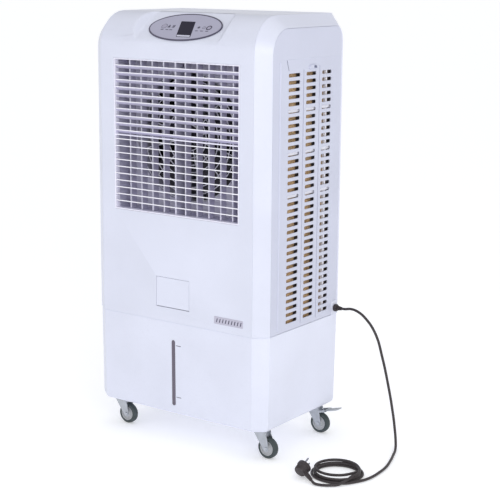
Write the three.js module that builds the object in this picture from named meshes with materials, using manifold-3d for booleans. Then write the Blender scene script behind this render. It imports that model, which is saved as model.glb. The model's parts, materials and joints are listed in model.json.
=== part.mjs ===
// A mobile evaporative cooler: a plastic casing on a water tank with four casters, a fan behind a
// louvred outlet, two slotted side covers over wet pads, and a mains lead coiled beside it.
// Millimetres. X is the width, the front faces -Y, Z is up from the floor that the casters stand on.
import * as THREE from 'three';
import { mergeVertices } from 'three/addons/utils/BufferGeometryUtils.js';
import Module from 'manifold-3d';

const wasm = await Module();
wasm.setup();

// ---- driving dimensions ----
const WIDTH = 600;
const DEPTH = 372;
const TOP = 1208;
const CASING_BOTTOM = 356;
const TANK_BOTTOM = 86;
const WALL = 3;
const GAP = 0.3;
const FRONT = -DEPTH / 2;
const BACK = DEPTH / 2;
const SIDE = WIDTH / 2;

// casing corners: the front and top edges of each side are cut back to a sloping band
const BAND_WIDTH = 38;
const BAND_DEPTH = 32;
const TOP_RADIUS = 100;
const BAND_REAR_RADIUS = 38;
const REAR_EDGE_RADIUS = 4;
const REAR_COVER_HALF = SIDE - BAND_WIDTH - GAP;
const REAR_COVER_TOP = TOP - 42;
const PARTING = 1;

// air outlet
const OUTLET_WIDTH = 432;
const OUTLET_BOTTOM = 658;
const OUTLET_TOP = 1081;
const OUTLET_DEPTH = 62;
const OUTLET_MIDDLE = (OUTLET_BOTTOM + OUTLET_TOP) / 2;
const BLADE_COUNT = 10;
const BLADE_PITCH = 20;
const BLADE_CHORD = 14;
const BLADE_THICKNESS = 3;
const BLADE_AXIS_Y = FRONT + 8.5;
const UPPER_TILT = 44;
const LOWER_TILT = 11;
const VANE_PITCH = 40;
const VANE_LEFT_START = -169;
const VANE_RIGHT_START = 26;
const VANE_CHORD = 22;
const VANE_THICKNESS = 3.4;
const VANE_AXIS_Y = FRONT + 31.5;
const VANE_LEAD = 15;
const VANE_SWING = 12;
const VANES_LEFT = 4;
const VANES_RIGHT = 5;
const MULLION_X = -10;
const MULLION_WIDTH = 5;
const VANE_FRONT = FRONT + 16.5;
const BAR_FRONT = FRONT + 2;
const BAR_DEPTH = 13;
const BAR_TOP = OUTLET_MIDDLE + 0.5;
const BAR_HEIGHT = 3;

// side covers and pads
const COVER_FRONT = FRONT + 34;
const COVER_BACK = BACK - 6;
const COVER_TOP = 1174;
const SLOT_ROWS = 36;
const SLOT_PITCH = 19.12;
const SLOT_FIRST = 382.4;
const SLOT_HEIGHT = 9.6;
const SLOT_COLUMNS = [[-79, -24], [6, 54], [84, 131]];
const NOTCH_WIDTH = 26;
const NOTCH_TOP = CASING_BOTTOM + 40;
const PAD_BACK_X = 252;
const PAD_FACE_X = 286;
const PAD_MARGIN = 16;

// vents in the rear cover, behind the fan motor
const VENT_COUNT = 8;
const VENT_FIRST = 780;
const VENT_PITCH = 24;
const VENT_HEIGHT = 9;
const VENT_HALF = 110;

// fan
const FAN_AXIS_Z = OUTLET_MIDDLE;
const FAN_RADIUS = 176;
const SHROUD_RADIUS = 182;
const SHROUD_FACE = FRONT + OUTLET_DEPTH + GAP;
const SHROUD_LENGTH = 56;
const FAN_FRONT = SHROUD_FACE + 12;
const HUB_LENGTH = 34;
const FAN_BLADES = 5;
const MOTOR_RADIUS = 46;
const MOTOR_LENGTH = 66;
const MOTOR_ARMS = 4;
const ARM_WIDTH = 14;
const ARM_DEPTH = 8;

// filling door and level window
const DOOR_X = -9;
const DOOR_WIDTH = 116;
const DOOR_BOTTOM = 396;
const DOOR_HEIGHT = 86;
const DOOR_GAP = 0.8;
const DOOR_PIVOT_Z = DOOR_BOTTOM + 2.6;
const DOOR_PIVOT_Y = FRONT + 1.5;
const CHEEK_REACH = 52;
const WINDOW_X = -9;
const WINDOW_WIDTH = 12;
const WINDOW_MIDDLE = 208.5;
const WINDOW_HEIGHT = 192;

// control console: a flat dish sunk into the curved shoulder
const CONSOLE_SLOPE = Math.atan(0.77);
const CONSOLE_HALF = 143;
const CONSOLE_LIP_Z = 1131;
const DISH_SHOULDER = 112;
const DISH_SHOULDER_INSET = 6;
const DISH_LENGTH = 140;
const DISH_END_INSET = 26;
const DISH_DEPTH = 30;
const PANEL_X = 2;
const PANEL_UP_SLOPE = 61.5;
const PANEL_LENGTH = 244;
const PANEL_HEIGHT = 110;
const PANEL_THICKNESS = 3;

// tank
const TANK_INSET = 1.5;
const TANK_TAPER = 3;
const TANK_EDGE_RADIUS = 14;

// pump, standing on the tank floor
const PUMP_X = 208;
const PUMP_Y = 92;
const PUMP_BASE = 62;
const PUMP_BASE_HEIGHT = 46;
const PUMP_HEAD_TOP = 74;
const PUMP_SPOUT_TOP = 96;

// casters
const WHEEL_RADIUS = 30;
const WHEEL_WIDTH = 20;
const TRAIL = 22;
const CASTER_X = 252;
const CASTER_FRONT_Y = -119;
const CASTER_BACK_Y = 148;
const PLATE_METAL = 2;
const FORK_TOP = 78;
const FORK_CHEEK = WHEEL_WIDTH / 2 + 3.6;
const AXLE_RADIUS = 4;
const PEDAL_PIVOT_X = 26;
const PEDAL_PIVOT_Z = 67;
const PEDAL_REACH = 64;
const PEDAL_HALF = 15;
const PEDAL_RISE = 15;

// mains lead
const CORD_DIAMETER = 7.5;
const CORD_STEPS = 44;
const TAIL_STEPS = 8;
const GLAND_Y = 170;
const GLAND_Z = 375;
const COIL_X = 494;
const COIL_Y = -112;
const COIL_OUTER = 72;
const COIL_INNER = 40;
const COIL_HEIGHT = 22;
const PLUG_CENTRE = new THREE.Vector3(430, -186, 24.5);
const PIN_DIRECTION = new THREE.Vector3(0.08, 0.89, 0.45).normalize();
const LEAD_DIRECTION = new THREE.Vector3(0.85, -0.42, -0.3).normalize();
const PLUG_REACH = 50;
const PLUG_RADIUS = 19.5;
const PLUG_HALF_LENGTH = 14;

// ---- materials ----
const finish = (color, roughness, metalness = 0) =>
  new THREE.MeshStandardMaterial({ color, roughness, metalness });
const WHITE = finish(0xe4e7f2, 0.38);
const COVER_GREY = finish(0xd8dae8, 0.45);
const LOUVRE_WHITE = finish(0xe2dff0, 0.4);
const DARK_PLASTIC = finish(0x35323c, 0.5);
const PANEL_SILVER = finish(0xb4b0c2, 0.35);
const SMOKE = finish(0x544f5e, 0.2);
const PAD_BROWN = finish(0x9a7d55, 0.9);
const ZINC = finish(0xb9bcc2, 0.35, 0.9);
const TYRE = finish(0x4a5258, 0.7);
const CORD_BLACK = finish(0x3a3334, 0.6);

// ---- helpers ----
const part = new THREE.Group();

function solid(geometry) {
  const bare = geometry.clone();
  bare.deleteAttribute('normal');
  bare.deleteAttribute('uv');
  const merged = mergeVertices(bare, 1e-4);
  return new wasm.Manifold(new wasm.Mesh({
    numProp: 3,
    vertProperties: new Float32Array(merged.attributes.position.array),
    triVerts: new Uint32Array(merged.index.array),
  }));
}

function toGeometry(manifold) {
  const { vertProperties, triVerts } = manifold.getMesh();
  const geometry = new THREE.BufferGeometry();
  geometry.setAttribute('position', new THREE.BufferAttribute(vertProperties, 3));
  geometry.setIndex(new THREE.BufferAttribute(triVerts, 1));
  geometry.computeVertexNormals();
  return geometry;
}

function add(name, shape, material, parent = part) {
  const geometry = shape.isBufferGeometry ? shape : toGeometry(shape);
  const mesh = new THREE.Mesh(geometry, material);
  mesh.name = name;
  parent.add(mesh);
  return mesh;
}

function box(x0, x1, y0, y1, z0, z1) {
  const geometry = new THREE.BoxGeometry(x1 - x0, y1 - y0, z1 - z0);
  geometry.translate((x0 + x1) / 2, (y0 + y1) / 2, (z0 + z1) / 2);
  return solid(geometry);
}

// a closed outline of [a, b] points pushed along one axis from `from` to `to`
function prism(points, axis, from, to) {
  const shape = new THREE.Shape(points.map(([a, b]) => new THREE.Vector2(a, b)));
  const geometry = new THREE.ExtrudeGeometry(shape, { depth: to - from, bevelEnabled: false });
  geometry.translate(0, 0, from);
  const turn = new THREE.Matrix4();
  if (axis === 'x') turn.set(0, 0, 1, 0, 1, 0, 0, 0, 0, 1, 0, 0, 0, 0, 0, 1);
  if (axis === 'y') turn.set(0, 1, 0, 0, 0, 0, 1, 0, 1, 0, 0, 0, 0, 0, 0, 1);
  geometry.applyMatrix4(turn);
  return solid(geometry);
}

// a round bar along an axis, turned so that flats face its sides
function rod(radius, axis, from, to, a, b, sides = 12) {
  const geometry = new THREE.CylinderGeometry(radius, radius, to - from, sides, 1);
  geometry.rotateY(Math.PI / sides);
  geometry.translate(0, (from + to) / 2, 0);
  if (axis === 'x') geometry.rotateZ(-Math.PI / 2).translate(0, a, b);
  if (axis === 'y') geometry.translate(a, 0, b);
  if (axis === 'z') geometry.rotateX(Math.PI / 2).translate(a, b, 0);
  return solid(geometry);
}

function arc(cy, cz, radius, from, to, steps) {
  return Array.from({ length: steps + 1 }, (_, i) => {
    const angle = THREE.MathUtils.degToRad(from + ((to - from) * i) / steps);
    return [cy + radius * Math.cos(angle), cz + radius * Math.sin(angle)];
  });
}

function roundedRectangle(a0, a1, b0, b1, radius, steps = 3) {
  return [
    ...arc(a1 - radius, b0 + radius, radius, -90, 0, steps),
    ...arc(a1 - radius, b1 - radius, radius, 0, 90, steps),
    ...arc(a0 + radius, b1 - radius, radius, 90, 180, steps),
    ...arc(a0 + radius, b0 + radius, radius, 180, 270, steps),
  ];
}

// skin between outlines of equal length, each [x, y, z][], closed at both ends
function loft(sections) {
  const count = sections[0].length;
  const positions = sections.flat(2);
  const index = [];
  for (let s = 0; s + 1 < sections.length; s += 1) {
    for (let i = 0; i < count; i += 1) {
      const a = s * count + i;
      const b = s * count + ((i + 1) % count);
      index.push(a, b, b + count, a, b + count, a + count);
    }
  }
  const last = (sections.length - 1) * count;
  for (let i = 1; i + 1 < count; i += 1) {
    index.push(0, i + 1, i);
    index.push(last, last + i, last + i + 1);
  }
  const geometry = new THREE.BufferGeometry();
  geometry.setAttribute('position', new THREE.Float32BufferAttribute(positions, 3));
  geometry.setIndex(index);
  const made = solid(geometry);
  return made.volume() > 0 ? made : solid(flipped(geometry));
}

function flipped(geometry) {
  const turned = geometry.clone();
  const order = turned.index.array;
  for (let i = 0; i < order.length; i += 3) [order[i + 1], order[i + 2]] = [order[i + 2], order[i + 1]];
  return turned;
}

// ---- casing ----
// side view of the casing at a distance `inset` inside its widest outline
function casingOutline(inset, rearRadius, back, bottom) {
  const radius = TOP_RADIUS - inset;
  const top = TOP - inset;
  return [
    [back, bottom],
    ...arc(back - rearRadius, top - rearRadius, rearRadius, 0, 90, 4),
    ...arc(FRONT + TOP_RADIUS, TOP - TOP_RADIUS, radius, 90, 180, 8),
    [FRONT + inset, bottom],
  ];
}

const at = (x, outline) => outline.map(([y, z]) => [x, y, z]);

function casingBody(inset, bottom) {
  const back = BACK - inset;
  const wide = casingOutline(inset, REAR_EDGE_RADIUS - inset, back, bottom);
  const narrow = casingOutline(BAND_DEPTH + inset, BAND_REAR_RADIUS - inset, back, bottom);
  const shoulder = SIDE - BAND_WIDTH - inset * 0.4;
  const edge = SIDE - inset;
  return loft([at(-edge, narrow), at(-shoulder, wide), at(shoulder, wide), at(edge, narrow)]);
}

// open at the bottom, and at the back below a strip under the top
const rearOpening = box(
  -REAR_COVER_HALF - GAP, REAR_COVER_HALF + GAP, BACK - 2 * WALL, BACK + WALL, 0, REAR_COVER_TOP + GAP,
);
const casingShell = casingBody(0, CASING_BOTTOM).subtract(casingBody(WALL, 0)).subtract(rearOpening);

// side view of the cover, grown by `grow`, with a corner left out low at the back for the lead
function sideCoverOutline(grow, bottom) {
  const front = COVER_FRONT - grow;
  const back = COVER_BACK + grow;
  const top = COVER_TOP + grow;
  const frontRadius = TOP_RADIUS - BAND_DEPTH - 2;
  const backRadius = BAND_REAR_RADIUS - 6;
  const notchFront = COVER_BACK - NOTCH_WIDTH + grow;
  return [
    ...arc(back - backRadius, top - backRadius, backRadius, 0, 90, 4),
    ...arc(front + frontRadius, top - frontRadius, frontRadius, 90, 180, 6),
    [front, bottom],
    [notchFront, bottom],
    [notchFront, NOTCH_TOP - grow],
    [back, NOTCH_TOP - grow],
  ];
}

function makeFrontPanel() {
  const half = SIDE - BAND_WIDTH - GAP / 2;
  const slab = box(-half, half, FRONT - 10, BACK + 10, 0, TOP + 10);
  const shoulderFill = prism(
    [
      [FRONT + 1, CONSOLE_LIP_Z - 20],
      ...arc(FRONT + TOP_RADIUS, TOP - TOP_RADIUS, TOP_RADIUS - 1, 165, 92, 6),
      [FRONT + 104, TOP - WALL],
      [FRONT + 104, TOP - 16],
      [FRONT + 12, CONSOLE_LIP_Z - 20],
    ],
    'x', -CONSOLE_HALF - 34, CONSOLE_HALF + 34,
  );
  const outlet = box(-OUTLET_WIDTH / 2, OUTLET_WIDTH / 2, FRONT - 10, FRONT + 20, OUTLET_BOTTOM, OUTLET_TOP);
  const door = box(
    DOOR_X - DOOR_WIDTH / 2, DOOR_X + DOOR_WIDTH / 2, FRONT - 10, FRONT + 20,
    DOOR_BOTTOM, DOOR_BOTTOM + DOOR_HEIGHT,
  );
  return casingShell.intersect(slab).add(shoulderFill).subtract(makeConsoleDish())
    .subtract(outlet).subtract(door);
}

// a point on the console: `up` along its slope from the lip, `out` away from its flat
function consolePoint(x, up, out) {
  const c = Math.cos(CONSOLE_SLOPE);
  const s = Math.sin(CONSOLE_SLOPE);
  return [x, FRONT - 2 + c * up - s * out, CONSOLE_LIP_Z + s * up + c * out];
}

// the hollow of the console: flat floor along the slope, flanks leaning outwards
function makeConsoleDish() {
  const section = (out, half) => [
    consolePoint(-half, 1, out),
    consolePoint(half, 1, out),
    consolePoint(half - DISH_SHOULDER_INSET, DISH_SHOULDER, out),
    consolePoint(half - DISH_END_INSET, DISH_LENGTH, out),
    consolePoint(-half + DISH_END_INSET, DISH_LENGTH, out),
    consolePoint(-half + DISH_SHOULDER_INSET, DISH_SHOULDER, out),
  ];
  return loft([section(0, CONSOLE_HALF), section(DISH_DEPTH, CONSOLE_HALF + DISH_END_INSET)]);
}

function makeSideFrame(sign) {
  const from = SIDE - BAND_WIDTH + GAP / 2;
  const half = box(from, SIDE + 10, FRONT - 10, BACK + 10, 0, TOP + 10);
  const opening = prism(sideCoverOutline(GAP, 0), 'x', SIDE - 30, SIDE + 10);
  const right = casingShell.intersect(half).subtract(opening);
  return sign > 0 ? right : right.mirror([1, 0, 0]);
}

function makeSideCover(sign) {
  let cover = prism(sideCoverOutline(0, CASING_BOTTOM + PARTING), 'x', SIDE - WALL, SIDE);
  for (const [from, to] of SLOT_COLUMNS) {
    for (let row = 0; row < SLOT_ROWS; row += 1) {
      const z = SLOT_FIRST + row * SLOT_PITCH;
      cover = cover.subtract(box(SIDE - 9, SIDE + 9, from, to, z - SLOT_HEIGHT / 2, z + SLOT_HEIGHT / 2));
    }
  }
  return sign > 0 ? cover : cover.mirror([1, 0, 0]);
}

// a wet pad in its tray, standing behind the slots of its cover
function makePad(sign) {
  const pad = box(
    PAD_BACK_X, PAD_FACE_X, SLOT_COLUMNS[0][0] - PAD_MARGIN, SLOT_COLUMNS[2][1] + PAD_MARGIN,
    SLOT_FIRST - PAD_MARGIN, SLOT_FIRST + (SLOT_ROWS - 1) * SLOT_PITCH + PAD_MARGIN,
  );
  return sign > 0 ? pad : pad.mirror([1, 0, 0]);
}

function makeRearCover() {
  const half = REAR_COVER_HALF;
  let cover = box(-half, half, BACK - WALL, BACK, CASING_BOTTOM + PARTING, REAR_COVER_TOP);
  for (let i = 0; i < VENT_COUNT; i += 1) {
    const z = VENT_FIRST + i * VENT_PITCH;
    cover = cover.subtract(box(-VENT_HALF, VENT_HALF, BACK - 10, BACK + 10, z, z + VENT_HEIGHT));
  }
  return cover;
}

// ---- tank ----
// the tank's outer body, or its hollow, `inset` inside the casing's plan, widening upwards
function tankBody(inset, bottom, top) {
  const half = SIDE - inset;
  const front = FRONT + inset;
  const back = BACK - inset;
  const cutX = BAND_WIDTH - inset * 0.4;
  const cutY = BAND_DEPTH - inset * 0.4;
  const section = (shrink, z) => [
    [half - shrink, back - shrink, z],
    [-half + shrink, back - shrink, z],
    [-half + shrink, front + cutY, z],
    [-half + cutX, front + shrink, z],
    [half - cutX, front + shrink, z],
    [half - shrink, front + cutY, z],
  ];
  const edge = TANK_EDGE_RADIUS + TANK_INSET - inset;
  const rounded = [0, 30, 60, 90].map((degrees) => {
    const angle = THREE.MathUtils.degToRad(degrees);
    return section(TANK_TAPER + edge * (1 - Math.sin(angle)), bottom + edge * (1 - Math.cos(angle)));
  });
  return loft([...rounded, section(0, top)]);
}

function makeTank() {
  const rim = CASING_BOTTOM - GAP;
  const hollow = tankBody(TANK_INSET + WALL, TANK_BOTTOM + WALL, rim + 20);
  const slot = prism(windowOutline(0), 'y', FRONT - 20, FRONT + 30);
  return tankBody(TANK_INSET, TANK_BOTTOM, rim).subtract(hollow).subtract(slot);
}

// outline of the level window in (z, x) order, as an extrusion along Y takes it
function windowOutline(inset) {
  const x0 = WINDOW_X - WINDOW_WIDTH / 2 + inset;
  const x1 = WINDOW_X + WINDOW_WIDTH / 2 - inset;
  const z0 = WINDOW_MIDDLE - WINDOW_HEIGHT / 2 + inset;
  const z1 = WINDOW_MIDDLE + WINDOW_HEIGHT / 2 - inset;
  return roundedRectangle(z0, z1, x0, x1, WINDOW_WIDTH / 2 - inset - 0.01, 4);
}

// a narrow plate that follows the lean of the tank's front wall
function makeLevelWindow() {
  const lean = TANK_TAPER / (CASING_BOTTOM - TANK_BOTTOM);
  const faceAt = (z) => FRONT + TANK_INSET + (CASING_BOTTOM - z) * lean;
  const thickness = 2.6;
  const wall = prism(
    [
      [faceAt(TANK_BOTTOM), TANK_BOTTOM],
      [faceAt(TANK_BOTTOM) + thickness, TANK_BOTTOM],
      [faceAt(TOP) + thickness, TOP],
      [faceAt(TOP), TOP],
    ],
    'x', -SIDE, SIDE,
  );
  return prism(windowOutline(GAP), 'y', FRONT, FRONT + 10).intersect(wall);
}

// ---- filling door: a flap hinged along its bottom edge, with two side cheeks ----
function makeFillDoor() {
  const x0 = DOOR_X - DOOR_WIDTH / 2 + DOOR_GAP;
  const x1 = DOOR_X + DOOR_WIDTH / 2 - DOOR_GAP;
  const z0 = DOOR_PIVOT_Z - 1;
  const z1 = DOOR_BOTTOM + DOOR_HEIGHT - DOOR_GAP;
  const cheekThickness = 2;
  const cheek = (from) => prism(
    [[DOOR_PIVOT_Y, DOOR_PIVOT_Z], ...arc(DOOR_PIVOT_Y, DOOR_PIVOT_Z, CHEEK_REACH, 12, 90, 6)],
    'x', from, from + cheekThickness,
  );
  return box(x0, x1, FRONT + 0.2, FRONT + WALL, z0, z1)
    .add(cheek(x0 + cheekThickness))
    .add(cheek(x1 - 2 * cheekThickness));
}

// ---- air outlet ----
const upperAxes = Array.from({ length: BLADE_COUNT }, (_, i) => OUTLET_MIDDLE + 8 + BLADE_PITCH * i);
const lowerAxes = Array.from({ length: BLADE_COUNT }, (_, i) => OUTLET_MIDDLE - 14 - BLADE_PITCH * 0.97 * i);
const vaneAxes = [
  ...Array.from({ length: VANES_LEFT }, (_, i) => VANE_LEFT_START + VANE_PITCH * i),
  ...Array.from({ length: VANES_RIGHT }, (_, i) => VANE_RIGHT_START + VANE_PITCH * i),
];
const PIN_RADIUS = 1.9;
const PIN_HOLE = 3.1;
const PIN_SIDES = 4;

function makeOutletFrame() {
  const half = OUTLET_WIDTH / 2 - GAP;
  const z0 = OUTLET_BOTTOM + GAP;
  const z1 = OUTLET_TOP - GAP;
  const y0 = FRONT + 0.6;
  const y1 = FRONT + OUTLET_DEPTH;
  const left = MULLION_X - MULLION_WIDTH / 2;
  let frame = box(-half, half, y0, y1, z0, z1)
    .subtract(box(-half + WALL, half - WALL, y0 - 5, y1 + 5, z0 + WALL, z1 - WALL))
    .add(box(-half + 1, half - 1, BAR_FRONT, BAR_FRONT + BAR_DEPTH, BAR_TOP - BAR_HEIGHT, BAR_TOP))
    .add(box(left, left + MULLION_WIDTH, VANE_FRONT, y1, z0 + 1, z1 - 1));
  for (const z of [...upperAxes, ...lowerAxes]) {
    frame = frame.subtract(rod(PIN_HOLE, 'x', -half - 5, half + 5, BLADE_AXIS_Y, z, PIN_SIDES));
  }
  for (const x of vaneAxes) {
    frame = frame.subtract(rod(PIN_HOLE, 'z', z0 - 5, z1 + 5, x, VANE_AXIS_Y, PIN_SIDES));
  }
  return frame;
}

// a blade with round edges and a pin at each end, lying in the XY plane about its own axis
function makeBlade() {
  const half = OUTLET_WIDTH / 2 - GAP - WALL - 0.6;
  const r = BLADE_THICKNESS / 2;
  const c = BLADE_CHORD / 2;
  const profile = [[-c, 0], [-c + r, -r], [c - r, -r * 0.8], [c, 0], [c - r, r * 0.8], [-c + r, r]];
  const tip = OUTLET_WIDTH / 2 - GAP - 0.2;
  return prism(profile, 'x', -half, half).add(rod(PIN_RADIUS, 'x', -tip, tip, 0, 0, PIN_SIDES));
}

function makeVane() {
  const half = (OUTLET_TOP - OUTLET_BOTTOM) / 2 - GAP - WALL - 0.6;
  const r = VANE_THICKNESS / 2;
  const profile = [
    [r, -VANE_LEAD + 1], [r, VANE_CHORD - VANE_LEAD - 2], [0, VANE_CHORD - VANE_LEAD],
    [-r, VANE_CHORD - VANE_LEAD - 2], [-r, -VANE_LEAD + 1], [0, -VANE_LEAD],
  ];
  const tip = (OUTLET_TOP - OUTLET_BOTTOM) / 2 - GAP - 0.2;
  return prism(profile, 'z', -half, half).add(rod(PIN_RADIUS, 'z', -tip, tip, 0, 0, PIN_SIDES));
}

function addLouvres() {
  const blade = toGeometry(makeBlade());
  const vane = toGeometry(makeVane());
  const addBlade = (name, z, tilt) => {
    const mesh = add(name, blade, LOUVRE_WHITE);
    mesh.position.set(0, BLADE_AXIS_Y, z);
    mesh.rotation.x = -THREE.MathUtils.degToRad(tilt);
  };
  upperAxes.forEach((z, i) => addBlade(`upper_blade_${i + 1}`, z, UPPER_TILT));
  lowerAxes.forEach((z, i) => addBlade(`lower_blade_${i + 1}`, z, LOWER_TILT));
  vaneAxes.forEach((x, i) => {
    const mesh = add(`vane_${i + 1}`, vane, LOUVRE_WHITE);
    mesh.position.set(x, VANE_AXIS_Y, OUTLET_MIDDLE);
    mesh.rotation.z = -THREE.MathUtils.degToRad(VANE_SWING);
  });
}

// ---- fan ----
function makeShroud() {
  const half = OUTLET_WIDTH / 2 - GAP;
  const y0 = SHROUD_FACE;
  const plate = box(-half, half, y0, y0 + WALL, OUTLET_BOTTOM + GAP, OUTLET_TOP - GAP);
  const ring = rod(SHROUD_RADIUS + WALL, 'y', y0 + 1, y0 + SHROUD_LENGTH, 0, FAN_AXIS_Z, 28);
  const hole = rod(SHROUD_RADIUS, 'y', y0 - 5, y0 + 70, 0, FAN_AXIS_Z, 28);
  return plate.add(ring).subtract(hole);
}

function makeImpeller() {
  const hub = new THREE.LatheGeometry(
    [[0, 0], [26, 0], [44, 8], [48, 16], [48, HUB_LENGTH], [0, HUB_LENGTH]]
      .map(([r, h]) => new THREE.Vector2(r, h)),
    20,
  );
  hub.translate(0, FAN_FRONT, FAN_AXIS_Z);
  const middle = FAN_FRONT + 20;
  const half = 1.5;
  const section = (radius, chord, lean) => {
    const c = (Math.cos(lean) * chord) / 2;
    const s = (Math.sin(lean) * chord) / 2;
    const corners = [[-c, s - half], [c, -s - half], [c, -s + half], [-c, s + half]];
    return corners.map(([x, y]) => [x, middle + y, radius]);
  };
  const blade = loft([section(40, 40, 0.6), section(110, 92, 0.42), section(FAN_RADIUS - 8, 112, 0.3)]);
  let impeller = solid(hub);
  for (let i = 0; i < FAN_BLADES; i += 1) {
    impeller = impeller.add(blade.rotate([0, (360 / FAN_BLADES) * i, 0]).translate([0, 0, FAN_AXIS_Z]));
  }
  return impeller.intersect(rod(FAN_RADIUS, 'y', FAN_FRONT - 1, middle + HUB_LENGTH, 0, FAN_AXIS_Z, 28));
}

function makeMotor() {
  const face = FAN_FRONT + HUB_LENGTH + GAP;
  const armFront = SHROUD_FACE + SHROUD_LENGTH + GAP;
  let motor = rod(MOTOR_RADIUS, 'y', face, face + MOTOR_LENGTH, 0, FAN_AXIS_Z, 20);
  for (let i = 0; i < MOTOR_ARMS; i += 1) {
    const arm = box(
      -ARM_WIDTH / 2, ARM_WIDTH / 2, armFront, armFront + ARM_DEPTH, MOTOR_RADIUS - ARM_WIDTH, SHROUD_RADIUS + 2,
    );
    motor = motor.add(arm.rotate([0, 45 + (360 / MOTOR_ARMS) * i, 0]).translate([0, 0, FAN_AXIS_Z]));
  }
  return motor;
}

// ---- console panel ----
function makeControlPanel() {
  const steps = 32;
  const outline = Array.from({ length: steps }, (_, i) => {
    const angle = (i / steps) * Math.PI * 2;
    return [(PANEL_LENGTH / 2) * Math.cos(angle), (PANEL_HEIGHT / 2) * Math.sin(angle)];
  });
  return prism(outline, 'z', 0, PANEL_THICKNESS);
}

// ---- pump ----
function makePump() {
  const floor = TANK_BOTTOM + WALL + GAP;
  const half = PUMP_BASE / 2;
  return box(PUMP_X - half, PUMP_X + half, PUMP_Y - half, PUMP_Y + half, floor, floor + PUMP_BASE_HEIGHT)
    .add(rod(20, 'z', floor + PUMP_BASE_HEIGHT - 6, floor + PUMP_HEAD_TOP, PUMP_X, PUMP_Y, 16))
    .add(rod(6, 'z', floor + PUMP_HEAD_TOP - 4, floor + PUMP_SPOUT_TOP, PUMP_X, PUMP_Y, 8));
}

// ---- casters: everything here is in the caster's own frame, its swivel axis at the origin ----
function makeFork() {
  const neckRadius = 19;
  const side = [
    [-20, FORK_TOP], [20, FORK_TOP], [26, 62], [TRAIL + 8, WHEEL_RADIUS - 4],
    [TRAIL, WHEEL_RADIUS - 9], [TRAIL - 8, WHEEL_RADIUS - 5],
  ].map(([x, z]) => [z, x]);
  const cheek = (y) => prism(side, 'y', y, y + PLATE_METAL);
  const axleHalf = FORK_CHEEK + 2;
  return rod(neckRadius, 'z', FORK_TOP - 2, TANK_BOTTOM - GAP, 0, 0, 16)
    .add(box(-20, 20, -FORK_CHEEK, FORK_CHEEK, FORK_TOP - WALL, FORK_TOP))
    .add(cheek(-FORK_CHEEK))
    .add(cheek(FORK_CHEEK - PLATE_METAL))
    .add(rod(AXLE_RADIUS, 'y', -axleHalf, axleHalf, TRAIL, WHEEL_RADIUS, 8));
}

function makeWheel() {
  const half = WHEEL_WIDTH / 2;
  const sides = 20;
  const tread = WHEEL_RADIUS / Math.cos(Math.PI / sides);
  const bore = AXLE_RADIUS + 1;
  const profile = [
    [bore, -half], [tread * 0.7, -half], [tread * 0.94, -half + 1.5], [tread, -half * 0.45],
    [tread, half * 0.45], [tread * 0.94, half - 1.5], [tread * 0.7, half], [bore, half], [bore, -half],
  ];
  const geometry = new THREE.LatheGeometry(profile.map(([r, h]) => new THREE.Vector2(r, h)), sides);
  geometry.rotateY(Math.PI / sides);
  return solid(geometry);
}

// a foot pedal on two arms outside the fork, made along +X from its pivot at the origin
function makePedal() {
  const inner = FORK_CHEEK + GAP;
  const outer = inner + PLATE_METAL;
  const plateStart = 20;
  const arm = (y) => box(-4, plateStart + 6, y, y + PLATE_METAL, -3, 3);
  return box(plateStart, PEDAL_REACH, -PEDAL_HALF, PEDAL_HALF, -1, 2)
    .add(box(plateStart, plateStart + 6, -outer, outer, -2, 3))
    .add(arm(-outer))
    .add(arm(inner));
}

function addCaster(label, x, y, heading, braked) {
  const caster = new THREE.Group();
  caster.position.set(x, y, 0);
  caster.rotation.z = heading;
  part.add(caster);
  add(`caster_fork_${label}`, makeFork(), ZINC, caster);
  const wheel = add(`caster_wheel_${label}`, makeWheel(), TYRE, caster);
  wheel.position.set(TRAIL, 0, WHEEL_RADIUS);
  if (!braked) return;
  const pedal = add(`brake_pedal_${label}`, makePedal(), ZINC, caster);
  pedal.position.set(PEDAL_PIVOT_X, 0, PEDAL_PIVOT_Z);
  pedal.rotation.y = -THREE.MathUtils.degToRad(PEDAL_RISE);
}

// ---- mains lead ----
// from the gland down to the coil on the floor, and from the coil to the plug
const CORD_ROUTE = [
  [325.2, 170, 375], [337, 170, 375.6], [354, 170, 378.6], [377, 170, 375], [407, 170, 356.5],
  [438, 170, 319], [463, 169, 254], [484, 168, 181], [502, 167, 105], [512, 165, 54],
  [520, 158, 20], [530, 142, 6], [546, 100, 4], [564, 50, 4], [577, 5, 4], [583, -40, 4],
  [584, -80, 4], [580, -104, 4], [573.5, -123, 4], [564.8, -140.6, 4],
];
const TAIL_ROUTE = [
  [549, -154, 4], [553.4, -162, 4], [541, -181, 4], [527, -197, 4], [511, -208, 4],
  [496, -213, 4], [484.7, -213, 5.2], [478.7, -210.1, 7.3], [472.8, -207.2, 9.4],
];

function makeTube(route, steps) {
  const curve = new THREE.CatmullRomCurve3(route.map((p) => new THREE.Vector3(...p)), false, 'centripetal');
  const sides = 8;
  const radius = CORD_DIAMETER / 2;
  const section = new THREE.Shape(Array.from({ length: sides }, (_, i) => {
    const angle = ((i + 0.5) / sides) * Math.PI * 2;
    return new THREE.Vector2(radius * Math.cos(angle), radius * Math.sin(angle));
  }));
  return new THREE.ExtrudeGeometry(section, { steps, extrudePath: curve, bevelEnabled: false });
}

function makeGland() {
  const x0 = SIDE + GAP;
  const rings = [[0, 0], [9, 0], [11, 4], [11, 9], [8, 13], [5, 24.4], [0, 24.4]];
  const geometry = new THREE.LatheGeometry(rings.map(([r, h]) => new THREE.Vector2(r, h)), 12);
  geometry.rotateZ(-Math.PI / 2).translate(x0, GLAND_Y, GLAND_Z);
  return solid(geometry);
}

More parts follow.
